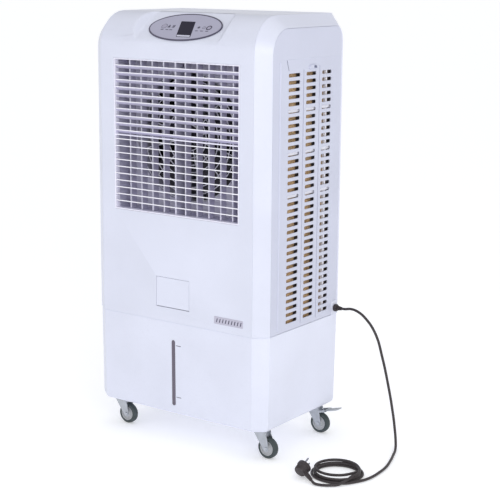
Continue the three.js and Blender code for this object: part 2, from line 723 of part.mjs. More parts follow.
// the coil's outer shape, with the end of the lead that runs on to the plug
function makeCoil() {
  const profile = [
    [COIL_INNER, GAP], [COIL_OUTER, GAP], [COIL_OUTER, COIL_HEIGHT - 6], [COIL_OUTER - 8, COIL_HEIGHT],
    [COIL_INNER + 8, COIL_HEIGHT], [COIL_INNER, COIL_HEIGHT - 6], [COIL_INNER, GAP],
  ];
  const ring = new THREE.LatheGeometry(profile.map(([r, h]) => new THREE.Vector2(r, h)), 28);
  ring.rotateX(Math.PI / 2).translate(COIL_X, COIL_Y, 0);
  return solid(ring).add(solid(makeTube(TAIL_ROUTE, TAIL_STEPS)));
}

// an angled plug: a round body about its own Z with two pins on its face, and a boot slanting back
// from its rim to the lead
function makePlug() {
  const slant = THREE.MathUtils.radToDeg(Math.asin(-LEAD_DIRECTION.dot(PIN_DIRECTION)));
  const half = PLUG_HALF_LENGTH;
  const pin = (y) => rod(2.4, 'z', half - 2, half + 19, 0, y, 6);
  return rod(PLUG_RADIUS, 'z', -half, half, 0, 0, 16)
    .add(rod(6.5, 'x', 8, PLUG_REACH - GAP, 0, 0, 8).rotate([0, slant, 0]))
    .add(pin(-9.5))
    .add(pin(9.5));
}

function addPlug() {
  const plug = add('plug', makePlug(), CORD_BLACK);
  const side = LEAD_DIRECTION.clone().addScaledVector(PIN_DIRECTION, -LEAD_DIRECTION.dot(PIN_DIRECTION));
  side.normalize();
  const across = PIN_DIRECTION.clone().cross(side);
  plug.quaternion.setFromRotationMatrix(new THREE.Matrix4().makeBasis(side, across, PIN_DIRECTION));
  plug.position.copy(PLUG_CENTRE);
}

// ---- assembly ----
add('front_panel', makeFrontPanel(), WHITE);
for (const [label, sign] of [['right', 1], ['left', -1]]) {
  add(`side_frame_${label}`, makeSideFrame(sign), WHITE);
  add(`side_cover_${label}`, makeSideCover(sign), COVER_GREY);
  add(`cooling_pad_${label}`, makePad(sign), PAD_BROWN);
}
add('rear_cover', makeRearCover(), WHITE);
add('water_tank', makeTank(), WHITE);
add('level_window', makeLevelWindow(), SMOKE);
add('fill_door', makeFillDoor(), WHITE);
add('outlet_frame', makeOutletFrame(), LOUVRE_WHITE);
addLouvres();
add('fan_shroud', makeShroud(), LOUVRE_WHITE);
add('fan_impeller', makeImpeller(), DARK_PLASTIC);
add('fan_motor', makeMotor(), DARK_PLASTIC);
add('water_pump', makePump(), DARK_PLASTIC);

const controlPanel = add('control_panel', makeControlPanel(), PANEL_SILVER);
controlPanel.position.set(...consolePoint(PANEL_X, PANEL_UP_SLOPE, GAP));
controlPanel.rotation.x = CONSOLE_SLOPE;

addCaster('front_right', CASTER_X, CASTER_FRONT_Y, 0, false);
addCaster('front_left', -CASTER_X, CASTER_FRONT_Y, 0, false);
addCaster('rear_right', CASTER_X, CASTER_BACK_Y, 0, true);
addCaster('rear_left', -CASTER_X, CASTER_BACK_Y, Math.PI, true);

add('cord_gland', makeGland(), CORD_BLACK);
add('power_cord', makeTube(CORD_ROUTE, CORD_STEPS), CORD_BLACK);
add('cord_coil', makeCoil(), CORD_BLACK);
addPlug();

export default part;
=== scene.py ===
"""The looks of a mobile evaporative cooler, built around its CAD frame. Metres, front towards -Y, Z up."""

import json
import math

import bmesh
import bpy
from mathutils import Matrix, Vector


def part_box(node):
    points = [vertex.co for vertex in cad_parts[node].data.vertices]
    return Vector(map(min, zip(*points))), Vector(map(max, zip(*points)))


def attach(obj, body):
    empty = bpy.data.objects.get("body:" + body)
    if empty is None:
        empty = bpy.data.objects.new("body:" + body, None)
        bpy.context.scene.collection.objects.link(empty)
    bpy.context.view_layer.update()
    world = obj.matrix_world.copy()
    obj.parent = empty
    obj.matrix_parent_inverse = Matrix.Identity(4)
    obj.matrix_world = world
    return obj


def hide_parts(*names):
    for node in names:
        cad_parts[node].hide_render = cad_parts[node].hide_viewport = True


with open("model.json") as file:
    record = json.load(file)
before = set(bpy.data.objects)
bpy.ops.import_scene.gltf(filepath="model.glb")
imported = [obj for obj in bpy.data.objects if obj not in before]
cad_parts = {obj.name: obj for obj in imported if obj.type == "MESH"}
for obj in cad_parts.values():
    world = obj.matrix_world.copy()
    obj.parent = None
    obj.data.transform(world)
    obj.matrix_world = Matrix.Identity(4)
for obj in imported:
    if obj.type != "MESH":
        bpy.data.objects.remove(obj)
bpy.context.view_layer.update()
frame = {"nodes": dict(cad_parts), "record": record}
NODES = frame["nodes"]
BODY_OF = {node: body for body, names in frame["record"]["behaviour"]["bodies"].items() for node in names}

# ---- driving dimensions, the same as the CAD source's ----
MM = 0.001
COVER_BOTTOM = 0.357
FRONT = -0.186
BACK = 0.186
OUTLET_MIDDLE = 0.8695
BLADE_AXIS_Y = -0.1775
BLADE_HALF = 0.2121
BLADE_CHORD = 0.014
VANE_AXIS_Y = -0.1545
VANE_LEAD = 0.015
VANE_CHORD = 0.022
VANE_HALF = 0.2076
UPPER_TILT = 44
LOWER_TILT = 11
VANE_SWING = 12
VANE_CENTRES = (-0.169, -0.129, -0.089, -0.049, 0.026, 0.066, 0.106, 0.146, 0.186)
SLOT_COLUMNS = ((-0.079, -0.024), (0.006, 0.054), (0.084, 0.131))
SLOT_ROWS = 36
SLOT_PITCH = 0.01912
SLOT_FIRST = 0.3824
SLOT_HEIGHT = 0.0096
SHROUD_RADIUS = 0.182
CORD_DIAMETER = 0.0075
# x, y, heading and whether it has a brake
CASTERS = {
    "front_right": (0.252, -0.119, 0.0, False),
    "front_left": (-0.252, -0.119, 0.0, False),
    "rear_right": (0.252, 0.148, 0.0, True),
    "rear_left": (-0.252, 0.148, math.pi, True),
}


# ---- camera ----
CAMERA_PLACE = (2.29387, -3.05828, 1.33664)
CAMERA_AZIMUTH = 35.38
CAMERA_PITCH = 11.86
CAMERA_ROLL = 0.46
CAMERA_LENS = 97.885
CAMERA_SENSOR = 36


def add_camera():
    azimuth, pitch, roll = (math.radians(angle) for angle in (CAMERA_AZIMUTH, CAMERA_PITCH, CAMERA_ROLL))
    forward = Vector((
        -math.sin(azimuth) * math.cos(pitch),
        math.cos(azimuth) * math.cos(pitch),
        -math.sin(pitch),
    ))
    level = Vector((math.cos(azimuth), math.sin(azimuth), 0))
    above = level.cross(forward)
    right = level * math.cos(roll) + above * math.sin(roll)
    up = above * math.cos(roll) - level * math.sin(roll)
    data = bpy.data.cameras.new("studio_camera")
    data.sensor_width = CAMERA_SENSOR
    data.lens = CAMERA_LENS
    data.clip_end = 300
    camera = bpy.data.objects.new("studio_camera", data)
    bpy.context.scene.collection.objects.link(camera)
    turn = Matrix((right, up, -forward)).transposed().to_4x4()
    camera.matrix_world = Matrix.Translation(CAMERA_PLACE) @ turn
    bpy.context.scene.camera = camera


add_camera()


# ---- materials ----
def linear(red, green, blue):
    def channel(value):
        value /= 255
        return value / 12.92 if value <= 0.04045 else ((value + 0.055) / 1.055) ** 2.4
    return (channel(red), channel(green), channel(blue), 1.0)


def scaled(colour, factor):
    return tuple(min(1.0, channel * factor) for channel in colour[:3]) + (1.0,)


class Nodes:
    """Makes shader nodes and their links in one material."""

    def __init__(self, material):
        material.use_nodes = True
        self.tree = material.node_tree
        self.shader = self.tree.nodes["Principled BSDF"]
        self.coords = self.tree.nodes.new("ShaderNodeTexCoord").outputs["Object"]

    def feed(self, socket, value):
        if isinstance(value, bpy.types.NodeSocket):
            self.tree.links.new(value, socket)
        else:
            socket.default_value = value

    def noise(self, scale, detail=3.0, stretch=None):
        node = self.tree.nodes.new("ShaderNodeTexNoise")
        node.inputs["Scale"].default_value = scale
        node.inputs["Detail"].default_value = detail
        source = self.coords
        if stretch:
            mapping = self.tree.nodes.new("ShaderNodeMapping")
            mapping.inputs["Scale"].default_value = stretch
            self.feed(mapping.inputs["Vector"], source)
            source = mapping.outputs["Vector"]
        self.feed(node.inputs["Vector"], source)
        return node.outputs["Fac"]

    def spread(self, value, low, high, start=0.3, end=0.7):
        node = self.tree.nodes.new("ShaderNodeMapRange")
        self.feed(node.inputs["Value"], value)
        node.inputs["From Min"].default_value = start
        node.inputs["From Max"].default_value = end
        node.inputs["To Min"].default_value = low
        node.inputs["To Max"].default_value = high
        return node.outputs["Result"]

    def mix(self, factor, first, second):
        """Mixes two colours. Its numbered sockets are the ones for colours."""
        node = self.tree.nodes.new("ShaderNodeMix")
        node.data_type = "RGBA"
        self.feed(node.inputs[0], factor)
        self.feed(node.inputs[6], first)
        self.feed(node.inputs[7], second)
        return node.outputs[2]

    def pointiness(self):
        return self.tree.nodes.new("ShaderNodeNewGeometry").outputs["Pointiness"]

    def bump(self, height, strength, distance):
        node = self.tree.nodes.new("ShaderNodeBump")
        node.inputs["Strength"].default_value = strength
        node.inputs["Distance"].default_value = distance
        self.feed(node.inputs["Height"], height)
        if self.shader.inputs["Normal"].is_linked:
            self.feed(node.inputs["Normal"], self.shader.inputs["Normal"].links[0].from_socket)
        self.feed(self.shader.inputs["Normal"], node.outputs["Normal"])


GRAIN_SCALE = 650.0
GRAIN_DEPTH = 0.00012


def surface(name, colour, rough, metal=0.0, mottle=0.03, mottle_scale=6.0, grain=0.25,
            wear=0.10, dirt=0.12, **settings):
    """Moulded or pressed surface: soft colour mottle, fine grain, lighter worn edges, dirt in corners."""
    material = bpy.data.materials.new(name)
    nodes = Nodes(material)
    base = linear(*colour)
    body = nodes.mix(
        nodes.spread(nodes.noise(mottle_scale, 4.0), 0.0, 1.0),
        scaled(base, 1 - mottle), scaled(base, 1 + mottle),
    )
    specks = nodes.spread(nodes.noise(mottle_scale * 25, 2.0), 0.0, 1.0, 0.55, 0.8)
    body = nodes.mix(nodes.spread(specks, 0.0, 0.35, 0.0, 1.0), body, scaled(base, 1 - 2 * mottle))
    edge = nodes.pointiness()
    body = nodes.mix(nodes.spread(edge, 0.0, wear * 4, 0.52, 0.60), body, scaled(base, 1.12))
    body = nodes.mix(nodes.spread(edge, dirt * 4, 0.0, 0.40, 0.485), body, scaled(base, 0.55))
    nodes.feed(nodes.shader.inputs["Base Color"], body)
    nodes.feed(
        nodes.shader.inputs["Roughness"],
        nodes.spread(nodes.noise(mottle_scale * 4, 3.0), rough - 0.05, rough + 0.06),
    )
    nodes.shader.inputs["Metallic"].default_value = metal
    nodes.bump(nodes.noise(GRAIN_SCALE, 2.0), grain, GRAIN_DEPTH)
    for socket, value in settings.items():
        nodes.shader.inputs[socket.replace("_", " ")].default_value = value
    return material


WHITE = surface("casing_plastic", (215, 218, 233), 0.36)
TANK_WHITE = surface("tank_plastic", (219, 222, 237), 0.38, mottle=0.035)
COVER_WHITE = surface("cover_plastic", (199, 202, 219), 0.44, grain=0.35)
# Blue-grey dark for marks on the side covers: painted shade in the grooves, along the ledge's slanted end
# and in the finger hollow.
GROOVE_SHADE = surface("cover_painted_shade", (92, 96, 122), 0.6)
SHROUD = surface("shroud_pale", (206, 204, 220), 0.5, mottle=0.05)
WIRE = surface("guard_enamel", (240, 240, 250), 0.3)
TRAY = surface("tray_plastic", (236, 236, 246), 0.42)
# Near-black sheets inside the casing, behind the rear vents and behind the pads: painted shade.
SHADE_SHEET = surface("painted_shade_sheet", (30, 24, 38), 0.55, mottle=0.08)
SILVER = surface("console_silver", (166, 165, 186), 0.33, mottle=0.02, grain=0.15)
RIM = surface("console_rim", (70, 67, 90), 0.35, wear=0.05)
GLASS = surface("display_glass", (26, 22, 44), 0.35, grain=0.0, Specular_IOR_Level=0.15)
LAMP = surface("display_strip", (196, 196, 214), 0.3, grain=0.0)
MARK = surface("printed_mark", (64, 60, 82), 0.5, grain=0.0, wear=0.0, dirt=0.0)
KEY = surface("key_cap", (158, 155, 176), 0.35)
SMOKE = surface("window_smoke", (92, 84, 100), 0.14, grain=0.05, Coat_Weight=0.4)
FAN = surface("fan_plastic", (38, 33, 47), 0.42, mottle=0.08)
MOTOR = surface("motor_paint", (48, 46, 54), 0.45, mottle=0.08)
ZINC = surface("zinc_plate", (178, 182, 188), 0.34, metal=0.85, mottle=0.09, mottle_scale=60.0,
               grain=0.3, wear=0.2, dirt=0.2)
STEEL = surface("screw_steel", (150, 152, 160), 0.3, metal=1.0, mottle=0.06, mottle_scale=80.0)
TYRE = surface("tyre_rubber", (62, 70, 72), 0.68, mottle=0.08, mottle_scale=40.0, grain=0.5, wear=0.05)
HUB = surface("hub_plastic", (186, 188, 192), 0.42, mottle=0.05, mottle_scale=40.0)
RUBBER = surface("lead_rubber", (50, 43, 45), 0.5, mottle=0.08, mottle_scale=50.0, grain=0.4, wear=0.06)
BADGE = surface("badge_plate", (190, 188, 204), 0.3, metal=0.35, mottle=0.03)


def cellulose():
    """Pressed paper: fibrous, brown, unevenly stained by mineral scale and water."""
    material = bpy.data.materials.new("pad_cellulose_paper")
    nodes = Nodes(material)
    base = linear(206, 172, 130)
    body = nodes.mix(nodes.spread(nodes.noise(35.0, 5.0), 0.0, 1.0), scaled(base, 0.62), scaled(base, 1.22))
    stains = nodes.spread(nodes.noise(14.0, 4.0, (1.0, 3.0, 0.6)), 0.0, 0.55, 0.5, 0.75)
    body = nodes.mix(stains, body, linear(216, 200, 170))
    body = nodes.mix(nodes.spread(nodes.pointiness(), 0.75, 0.0, 0.42, 0.5), body, scaled(base, 0.28))
    nodes.feed(nodes.shader.inputs["Base Color"], body)
    nodes.feed(nodes.shader.inputs["Roughness"], nodes.spread(nodes.noise(60.0), 0.82, 0.95))
    nodes.bump(nodes.noise(900.0, 4.0, (1.0, 0.35, 1.0)), 0.7, 0.0006)
    return material


def slat(name, depth, nose, faces, lip_highlight):
    """Louvre plastic with painted light: its front lip, at a local Y below `nose`, is a painted highlight
    paler than its broad faces, which are darkened as painted shade.
    """
    material = surface(name, faces, 0.38)
    nodes = Nodes(material)
    split = nodes.tree.nodes.new("ShaderNodeSeparateXYZ")
    nodes.feed(split.inputs["Vector"], nodes.coords)
    body = nodes.shader.inputs["Base Color"].links[0].from_socket
    share = nodes.spread(split.outputs["Y"], 1.0, 0.0, nose, nose + depth)
    nodes.feed(nodes.shader.inputs["Base Color"], nodes.mix(share, body, linear(*lip_highlight)))
    return material


PAPER = cellulose()
# Near-black brown for strips laid on the pads' faces: painted shade behind the slots.
PAD_SHADE = surface("pad_painted_shade", (52, 44, 46), 0.8, mottle=0.2, mottle_scale=30.0)
# The louvres' pale front lips are painted highlights, and their broad faces are darkened as painted shade.
BLADE = slat("blade_plastic", 0.0012, -0.0062, (186, 183, 206), (250, 250, 255))
VANE = slat("vane_plastic", 0.0030, -0.0135, (160, 157, 180), (244, 243, 254))
DUCT = slat("duct_plastic", 0.0020, -0.1688, (188, 186, 206), (240, 239, 252))


# ---- mesh helpers ----
def arc(x, y, radius, start, end, steps):
    return [
        Vector((
            x + radius * math.cos(math.radians(start + (end - start) * i / steps)),
            y + radius * math.sin(math.radians(start + (end - start) * i / steps)),
        ))
        for i in range(steps + 1)
    ]


def rounded(x0, x1, y0, y1, radius, steps=4):
    return (
        arc(x1 - radius, y0 + radius, radius, -90, 0, steps)
        + arc(x1 - radius, y1 - radius, radius, 0, 90, steps)
        + arc(x0 + radius, y1 - radius, radius, 90, 180, steps)
        + arc(x0 + radius, y0 + radius, radius, 180, 270, steps)
    )


def millimetres(*pairs):
    return [Vector(pair) * MM for pair in pairs]


def ellipse(half_width, half_height, steps=96):
    return [
        Vector((half_width * math.cos(math.tau * i / steps), half_height * math.sin(math.tau * i / steps)))
        for i in range(steps)
    ]


def moved(loop, x, y):
    return [point + Vector((x, y)) for point in loop]


def inset(loop, distance):
    """The loop moved to its left by a distance: inwards if it runs counter-clockwise."""
    result = []
    for i, point in enumerate(loop):
        before = (point - loop[i - 1]).normalized()
        after = (loop[(i + 1) % len(loop)] - point).normalized()
        left = Vector((-before.y, before.x))
        mean = left + Vector((-after.y, after.x))
        result.append(point + mean * (distance / max(mean.dot(left), 0.3)))
    return result


def sheared(corners, radius, steps=3):
    """A rounded outline through corners, given counter-clockwise."""
    result = []
    for i, corner in enumerate(corners):
        before = (corners[i - 1] - corner).normalized()
        after = (corners[(i + 1) % len(corners)] - corner).normalized()
        for k in range(steps + 1):
            share = k / steps
            start = corner + before * radius * (1 - share)
            end = corner + after * radius * share
            result.append(start * (1 - share) + end * share)
    return result


def axes(origin, x, y, z):
    matrix = Matrix((Vector(x), Vector(y), Vector(z))).transposed().to_4x4()
    matrix.translation = Vector(origin)
    return matrix


def along(origin, direction):
    """A frame at origin whose Z is the direction."""
    turn = Vector((0, 0, 1)).rotation_difference(Vector(direction)).to_matrix().to_4x4()
    return Matrix.Translation(Vector(origin)) @ turn


ON_RIGHT = axes((0, 0, 0), (0, 1, 0), (0, 0, 1), (1, 0, 0))
ON_FRONT = axes((0, 0, 0), (1, 0, 0), (0, 0, 1), (0, -1, 0))
ON_BACK = axes((0, 0, 0), (-1, 0, 0), (0, 0, 1), (0, 1, 0))


def bridge(bm, lower, upper):
    count = max(len(lower), len(upper))
    for i in range(count):
        j = (i + 1) % count
        corners = (
            lower[i % len(lower)], lower[j % len(lower)], upper[j % len(upper)], upper[i % len(upper)],
        )
        bm.faces.new(list(dict.fromkeys(corners)))


def cap(bm, rings):
    edges = [bm.edges.get((ring[i - 1], ring[i])) for ring in rings for i in range(len(ring))]
    bmesh.ops.triangle_fill(bm, edges=edges, use_beauty=True)


def add_plate(bm, outer, holes, low, high, matrix, rounding=0.0005, steps=3, both=False):
    """A flat plate with holes; its top edges are rounded, and its bottom edges too if both is true."""
    quarter = [math.pi / 2 * i / steps for i in range(steps + 1)]
    top = [(rounding * (1 - math.cos(a)), high - rounding * (1 - math.sin(a))) for a in quarter]
    bottom = [(offset, low + high - height) for offset, height in reversed(top)] if both else [(0.0, low)]
    stacks = []
    for loop in [outer] + [list(reversed(hole)) for hole in holes]:
        stacks.append([
            [bm.verts.new(matrix @ Vector((point.x, point.y, height))) for point in inset(loop, offset)]
            for offset, height in bottom + top
        ])
    for stack in stacks:
        for lower, upper in zip(stack, stack[1:]):
            bridge(bm, lower, upper)
    cap(bm, [stack[0] for stack in stacks])
    cap(bm, [stack[-1] for stack in stacks])


def add_lathe(bm, profile, matrix, segments=40, closed=False):
    """A turned shape about the matrix's Z. The profile is (radius, height) pairs."""
    rings = []
    for radius, height in profile:
        count = segments if radius > 1e-7 else 1
        turns = [math.tau * i / segments for i in range(count)]
        rings.append([
            bm.verts.new(matrix @ Vector((radius * math.cos(turn), radius * math.sin(turn), height)))
            for turn in turns
        ])
    if closed:
        rings.append(rings[0])
    for lower, upper in zip(rings, rings[1:]):
        bridge(bm, lower, upper)


def add_rod(bm, start, end, radius, segments=12, rounding=0.0):
    direction = Vector(end) - Vector(start)
    length = direction.length
    if rounding:
        profile = [
            (0, 0), (radius - rounding, 0), (radius, rounding), (radius, length - rounding),
            (radius - rounding, length), (0, length),
        ]
    else:
        profile = [(0, 0), (radius, 0), (radius, length), (0, length)]
    add_lathe(bm, profile, along(start, direction), segments)


def add_hoop(bm, radius, wire, matrix, segments=72):
    profile = [
        (radius + wire * math.cos(math.tau * i / 8), wire * math.sin(math.tau * i / 8)) for i in range(8)
    ]
    add_lathe(bm, profile, matrix, segments, closed=True)


def shade(mesh, angle):
    for polygon in mesh.polygons:
        polygon.use_smooth = True
    mesh.set_sharp_from_angle(angle=math.radians(angle))


def dress(obj, body, material, replaced=()):
    """Gives an object its material, its smooth normals and its place in the frame."""
    obj.data.materials.clear()
    obj.data.materials.append(material)
    obj.modifiers.new("normals", "WEIGHTED_NORMAL").keep_sharp = True
    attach(obj, body)
    if replaced:
        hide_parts(*replaced)


def place(name, mesh, body, material, replaced=(), matrix=None):
    obj = bpy.data.objects.new(name, mesh)
    bpy.context.scene.collection.objects.link(obj)
    if matrix is not None:
        obj.matrix_world = matrix
    dress(obj, body, material, replaced)
    return obj


def finished(name, bm, angle=35):
    """The mesh of a builder that is done with, with its faces turned outwards."""
    bmesh.ops.recalc_face_normals(bm, faces=bm.faces)
    mesh = bpy.data.meshes.new(name)
    bm.to_mesh(mesh)
    bm.free()
    shade(mesh, angle)
    return mesh


def piece(name, bm, body, material, replaced=(), mirror=False, angle=35):
    if mirror:
        bmesh.ops.scale(bm, vec=(-1, 1, 1), verts=bm.verts)
    return place(name, finished(name, bm, angle), body, material, replaced)


def refined(node, material, width=0.0008, limit=28, wide=None):
    """A copy of a CAD node with merged faces and rounded edges. wide gives an edge a width by its middle."""
    mesh = bpy.data.meshes.new(node + "_shell")
    bm = bmesh.new()
    bm.from_mesh(NODES[node].data)
    bmesh.ops.remove_doubles(bm, verts=bm.verts, dist=3e-5)
    bmesh.ops.dissolve_limit(bm, angle_limit=math.radians(0.6), verts=bm.verts, edges=bm.edges)
    bmesh.ops.triangulate(bm, faces=[face for face in bm.faces if len(face.verts) > 4])
    layers = bm.edges.layers.float
    weights = layers.get("bevel_weight_edge") or layers.new("bevel_weight_edge")
    widest = width
    asked = {}
    for edge in bm.edges:
        if len(edge.link_faces) == 2 and edge.calc_face_angle(0) > math.radians(limit):
            middle = (edge.verts[0].co + edge.verts[1].co) / 2
            asked[edge] = (wide(middle) if wide else None) or width
            widest = max(widest, asked[edge])
    for edge, value in asked.items():
        edge[weights] = value / widest
    bm.to_mesh(mesh)
    bm.free()
    if "custom_normal" in mesh.attributes:
        mesh.attributes.remove(mesh.attributes["custom_normal"])
    shade(mesh, 40)
    obj = bpy.data.objects.new(node + "_shell", mesh)
    bpy.context.scene.collection.objects.link(obj)
    bevel = obj.modifiers.new("edges", "BEVEL")
    bevel.limit_method = "WEIGHT"
    bevel.width = widest
    bevel.segments = 3
    bevel.use_clamp_overlap = False
    bevel.miter_outer = "MITER_ARC"
    obj.data = bpy.data.meshes.new_from_object(obj.evaluated_get(bpy.context.evaluated_depsgraph_get()))
    obj.modifiers.clear()
    low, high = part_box(node)
    for vertex in obj.data.vertices:
        vertex.co = [min(max(value, a), b) for value, a, b in zip(vertex.co, low, high)]
    shade(obj.data, 40)
    dress(obj, BODY_OF[node], material, [node])


# ---- mains lead: route, coil, plug and strain relief ----
CORD_ROUTE = (
    (325.2, 170, 375), (337, 170, 375.6), (354, 170, 378.6), (377, 170, 375), (407, 170, 356.5),
    (438, 170, 319), (463, 169, 254), (484, 168, 181), (502, 167, 105), (512, 165, 54),
    (520, 158, 21), (530, 140, 7), (546, 100, 4.3), (564, 50, 4.2), (577, 5, 4.2), (582.5, -40, 4.2),
    (583.4, -80, 4.2), (580, -104, 4.2), (573.5, -123, 4.2),
)
COIL_CENTRE = (494, -112)
COIL_START = -22
COIL_STEP = 20
COIL_END_STEP = 14
# the turns end here, and the cord then sinks to the floor
COIL_END = 1440
# degrees wound, radius, height, shift in x, shift in y
COIL_STATIONS = (
    (0, 76.4, 4.2, 0, 0), (80, 68, 4.2, 0, 0), (320, 68, 4.2, 0, 0), (400, 59.5, 4.2, 0, 0),
    (640, 59.5, 4.2, 0, 0), (715, 62, 11.3, 3, -2), (1000, 62, 11.3, 3, -2), (1075, 57, 18.4, -4, 3),
    (1360, 58, 18.4, -4, 3), (1440, 66, 16.6, 0, 0), (1456, 74, 12.6, 0, 0), (1468, 80, 7.5, 0, 0),
)
TAIL_ROUTE = (
    (541, -181, 4.6), (527, -197, 4.4), (511, -207.2, 4.3), (496, -212, 4.3), (484.7, -212.2, 5.2),
    (478.7, -210.1, 7.3), (472.8, -207.2, 9.4),
)
PLUG_CENTRE = Vector((0.430, -0.186, 0.0245))
PIN_DIRECTION = Vector((0.08, 0.89, 0.45)).normalized()
LEAD_DIRECTION = Vector((0.85, -0.42, -0.3)).normalized()
GLAND = Vector((0.3003, 0.170, 0.375))
GLAND_LENGTH = 0.0244


def coil_points():
    points = []
    wound = 0
    while wound <= COIL_STATIONS[-1][0]:
        before = [station for station in COIL_STATIONS if station[0] <= wound][-1]
        after = [station for station in COIL_STATIONS if station[0] >= wound][0]
        span = after[0] - before[0]
        share = (wound - before[0]) / span if span else 0
        ease = share * share * (3 - 2 * share) if wound < COIL_END else share
        radius, height, dx, dy = (a + (b - a) * ease for a, b in zip(before[1:], after[1:]))
        angle = math.radians(COIL_START - wound)
        x = COIL_CENTRE[0] + dx + radius * math.cos(angle)
        y = COIL_CENTRE[1] + dy + radius * math.sin(angle)
        points.append((x, y, height))
        wound += COIL_STEP if wound < COIL_END else COIL_END_STEP
    return points


def add_cord():
    points = millimetres(*CORD_ROUTE, *coil_points(), *TAIL_ROUTE)
    curve = bpy.data.curves.new("mains_lead", "CURVE")
    curve.dimensions = "3D"
    spline = curve.splines.new("BEZIER")
    spline.bezier_points.add(len(points) - 1)
    for knot, point in zip(spline.bezier_points, points):
        knot.co = point
        knot.handle_left_type = "AUTO"
        knot.handle_right_type = "AUTO"
    curve.bevel_depth = CORD_DIAMETER / 2
    curve.bevel_resolution = 4
    curve.resolution_u = 8
    curve.use_fill_caps = True
    curve.materials.append(RUBBER)
    lead = bpy.data.objects.new("mains_lead", curve)
    bpy.context.scene.collection.objects.link(lead)
    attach(lead, "casing")
    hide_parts("power_cord", "cord_coil")
    return lead


def ribbed(start_radius, end_radius, length, ribs_and_shade_strips, depth, head):
    """A tapered sleeve's profile, with grooves between its ribs, after a plain head."""
    profile = [(0, 0), (start_radius - 0.0008, 0), (start_radius, 0.0008), (start_radius, head)]
    pitch = (length - head) / ribs_and_shade_strips
    for i in range(ribs_and_shade_strips):
        at = head + pitch * i
        radius = start_radius + (end_radius - start_radius) * (i + 0.5) / ribs_and_shade_strips
        profile += [
            (radius - depth, at + pitch * 0.12), (radius - depth, at + pitch * 0.36),
            (radius, at + pitch * 0.5), (radius, at + pitch * 0.9),
        ]
    return profile + [(end_radius - 0.0004, length), (0, length)]


PLUG_OUTLINE = (
    (0, -14), (12, -14), (15.2, -13.2), (16.6, -11), (17, -6), (17.4, 0), (18.4, 4.3), (19.3, 4.6),
    (19.5, 6), (19.5, 12.6), (19, 13.6), (18, 14), (0, 14),
)
PIN_HALF_GAP = 0.0095
PIN_LENGTH = 0.020
PIN_RADIUS = 0.0024


def add_plug():
    side = (LEAD_DIRECTION - PIN_DIRECTION * LEAD_DIRECTION.dot(PIN_DIRECTION)).normalized()
    across = PIN_DIRECTION.cross(side)
    turned = axes(PLUG_CENTRE, side, across, PIN_DIRECTION)
    body = bmesh.new()
    add_lathe(body, millimetres(*PLUG_OUTLINE), turned, 48)
    for i in range(-2, 3):
        for sign in (-1, 1):
            angle = math.radians(90 * sign + 11 * i)
            outward = side * math.cos(angle) + across * math.sin(angle)
            foot = PLUG_CENTRE + outward * 0.0168
            add_rod(body, foot - PIN_DIRECTION * 0.010, foot + PIN_DIRECTION * 0.001, 0.0011, 8, 0.0004)
    boot_profile = ribbed(0.0066, 0.0046, 0.0417, 5, 0.0011, 0.016)
    add_lathe(body, boot_profile, along(PLUG_CENTRE + LEAD_DIRECTION * 0.008, LEAD_DIRECTION), 28)
    plug_body = piece("plug_body", body, "casing", RUBBER, ["plug"])
    pins = bmesh.new()
    for offset in (-PIN_HALF_GAP, PIN_HALF_GAP):
        foot = PLUG_CENTRE + across * offset + PIN_DIRECTION * 0.013
        add_rod(pins, foot, foot + PIN_DIRECTION * PIN_LENGTH, PIN_RADIUS, 20, 0.0009)
    return [plug_body, piece("plug_pins", pins, "casing", STEEL)]


def add_strain_relief():
    bm = bmesh.new()
    head = [(0, 0), (0.0092, 0), (0.0106, 0.0016), (0.0108, 0.0070), (0.0100, 0.0088), (0.0072, 0.0094)]
    head_length = head[-1][1]
    sleeve = ribbed(0.0070, 0.0047, GLAND_LENGTH - head_length, 4, 0.0010, 0.002)
    profile = head + [(radius, height + head_length) for radius, height in sleeve[3:]]
    add_lathe(bm, profile, along(GLAND, (1, 0, 0)), 36)
    return piece("strain_relief", bm, "casing", RUBBER, ["cord_gland"])


lead = add_cord()
lead_pieces = add_plug() + [add_strain_relief()]


# ---- casing ----
# the seams between the front panel and the side frames
FRONT_SEAM_X = 0.26185
SIDE_SEAM_X = 0.26215
SEAM_REACH = 0.0004


def front_edge_width(middle):
    if abs(abs(middle.x) - FRONT_SEAM_X) < SEAM_REACH:
        return 0.0006
    if middle.z > 1.128 and middle.y < -0.082 and abs(middle.x) < 0.175:
        return 0.005
    if middle.z < 0.5:
        return 0.0004
    return 0.0016


def side_edge_width(middle):
    if abs(abs(middle.x) - SIDE_SEAM_X) < SEAM_REACH:
        return 0.0006
    if abs(middle.x) > 0.2985 and middle.z > 0.36:
        return 0.0014
    return 0.0008


refined("front_panel", WHITE, 0.0012, wide=front_edge_width)
for label in ("right", "left"):
    refined("side_frame_" + label, WHITE, 0.0008, wide=side_edge_width)
refined("water_tank", TANK_WHITE, 0.0012)
refined("level_window", SMOKE, 0.0007)
refined("fill_door", WHITE, 0.0005)
refined("outlet_frame", DUCT, 0.0008, limit=60)
refined("fan_shroud", SHROUD, 0.0008, limit=60)
refined("fan_impeller", FAN, 0.0006, limit=50)
refined("fan_motor", MOTOR, 0.0012, limit=50)
refined("water_pump", MOTOR, 0.0015, limit=50)


REAR_HALF = 0.2617
REAR_TOP = 1.166
REAR_SCREWS = [(x, z) for x in (-0.247, 0.247) for z in (0.374, 0.765, 1.150)]
VENT_ROWS = [0.780 + 0.024 * i for i in range(8)]
SCREW_PROFILE = (
    (0, 0), (0.0072, 0), (0.0072, 0.0005), (0.0046, 0.0005), (0.0046, 0.0013), (0.0036, 0.0019),
    (0.0016, 0.0021), (0.0013, 0.0012), (0, 0.0012),
)


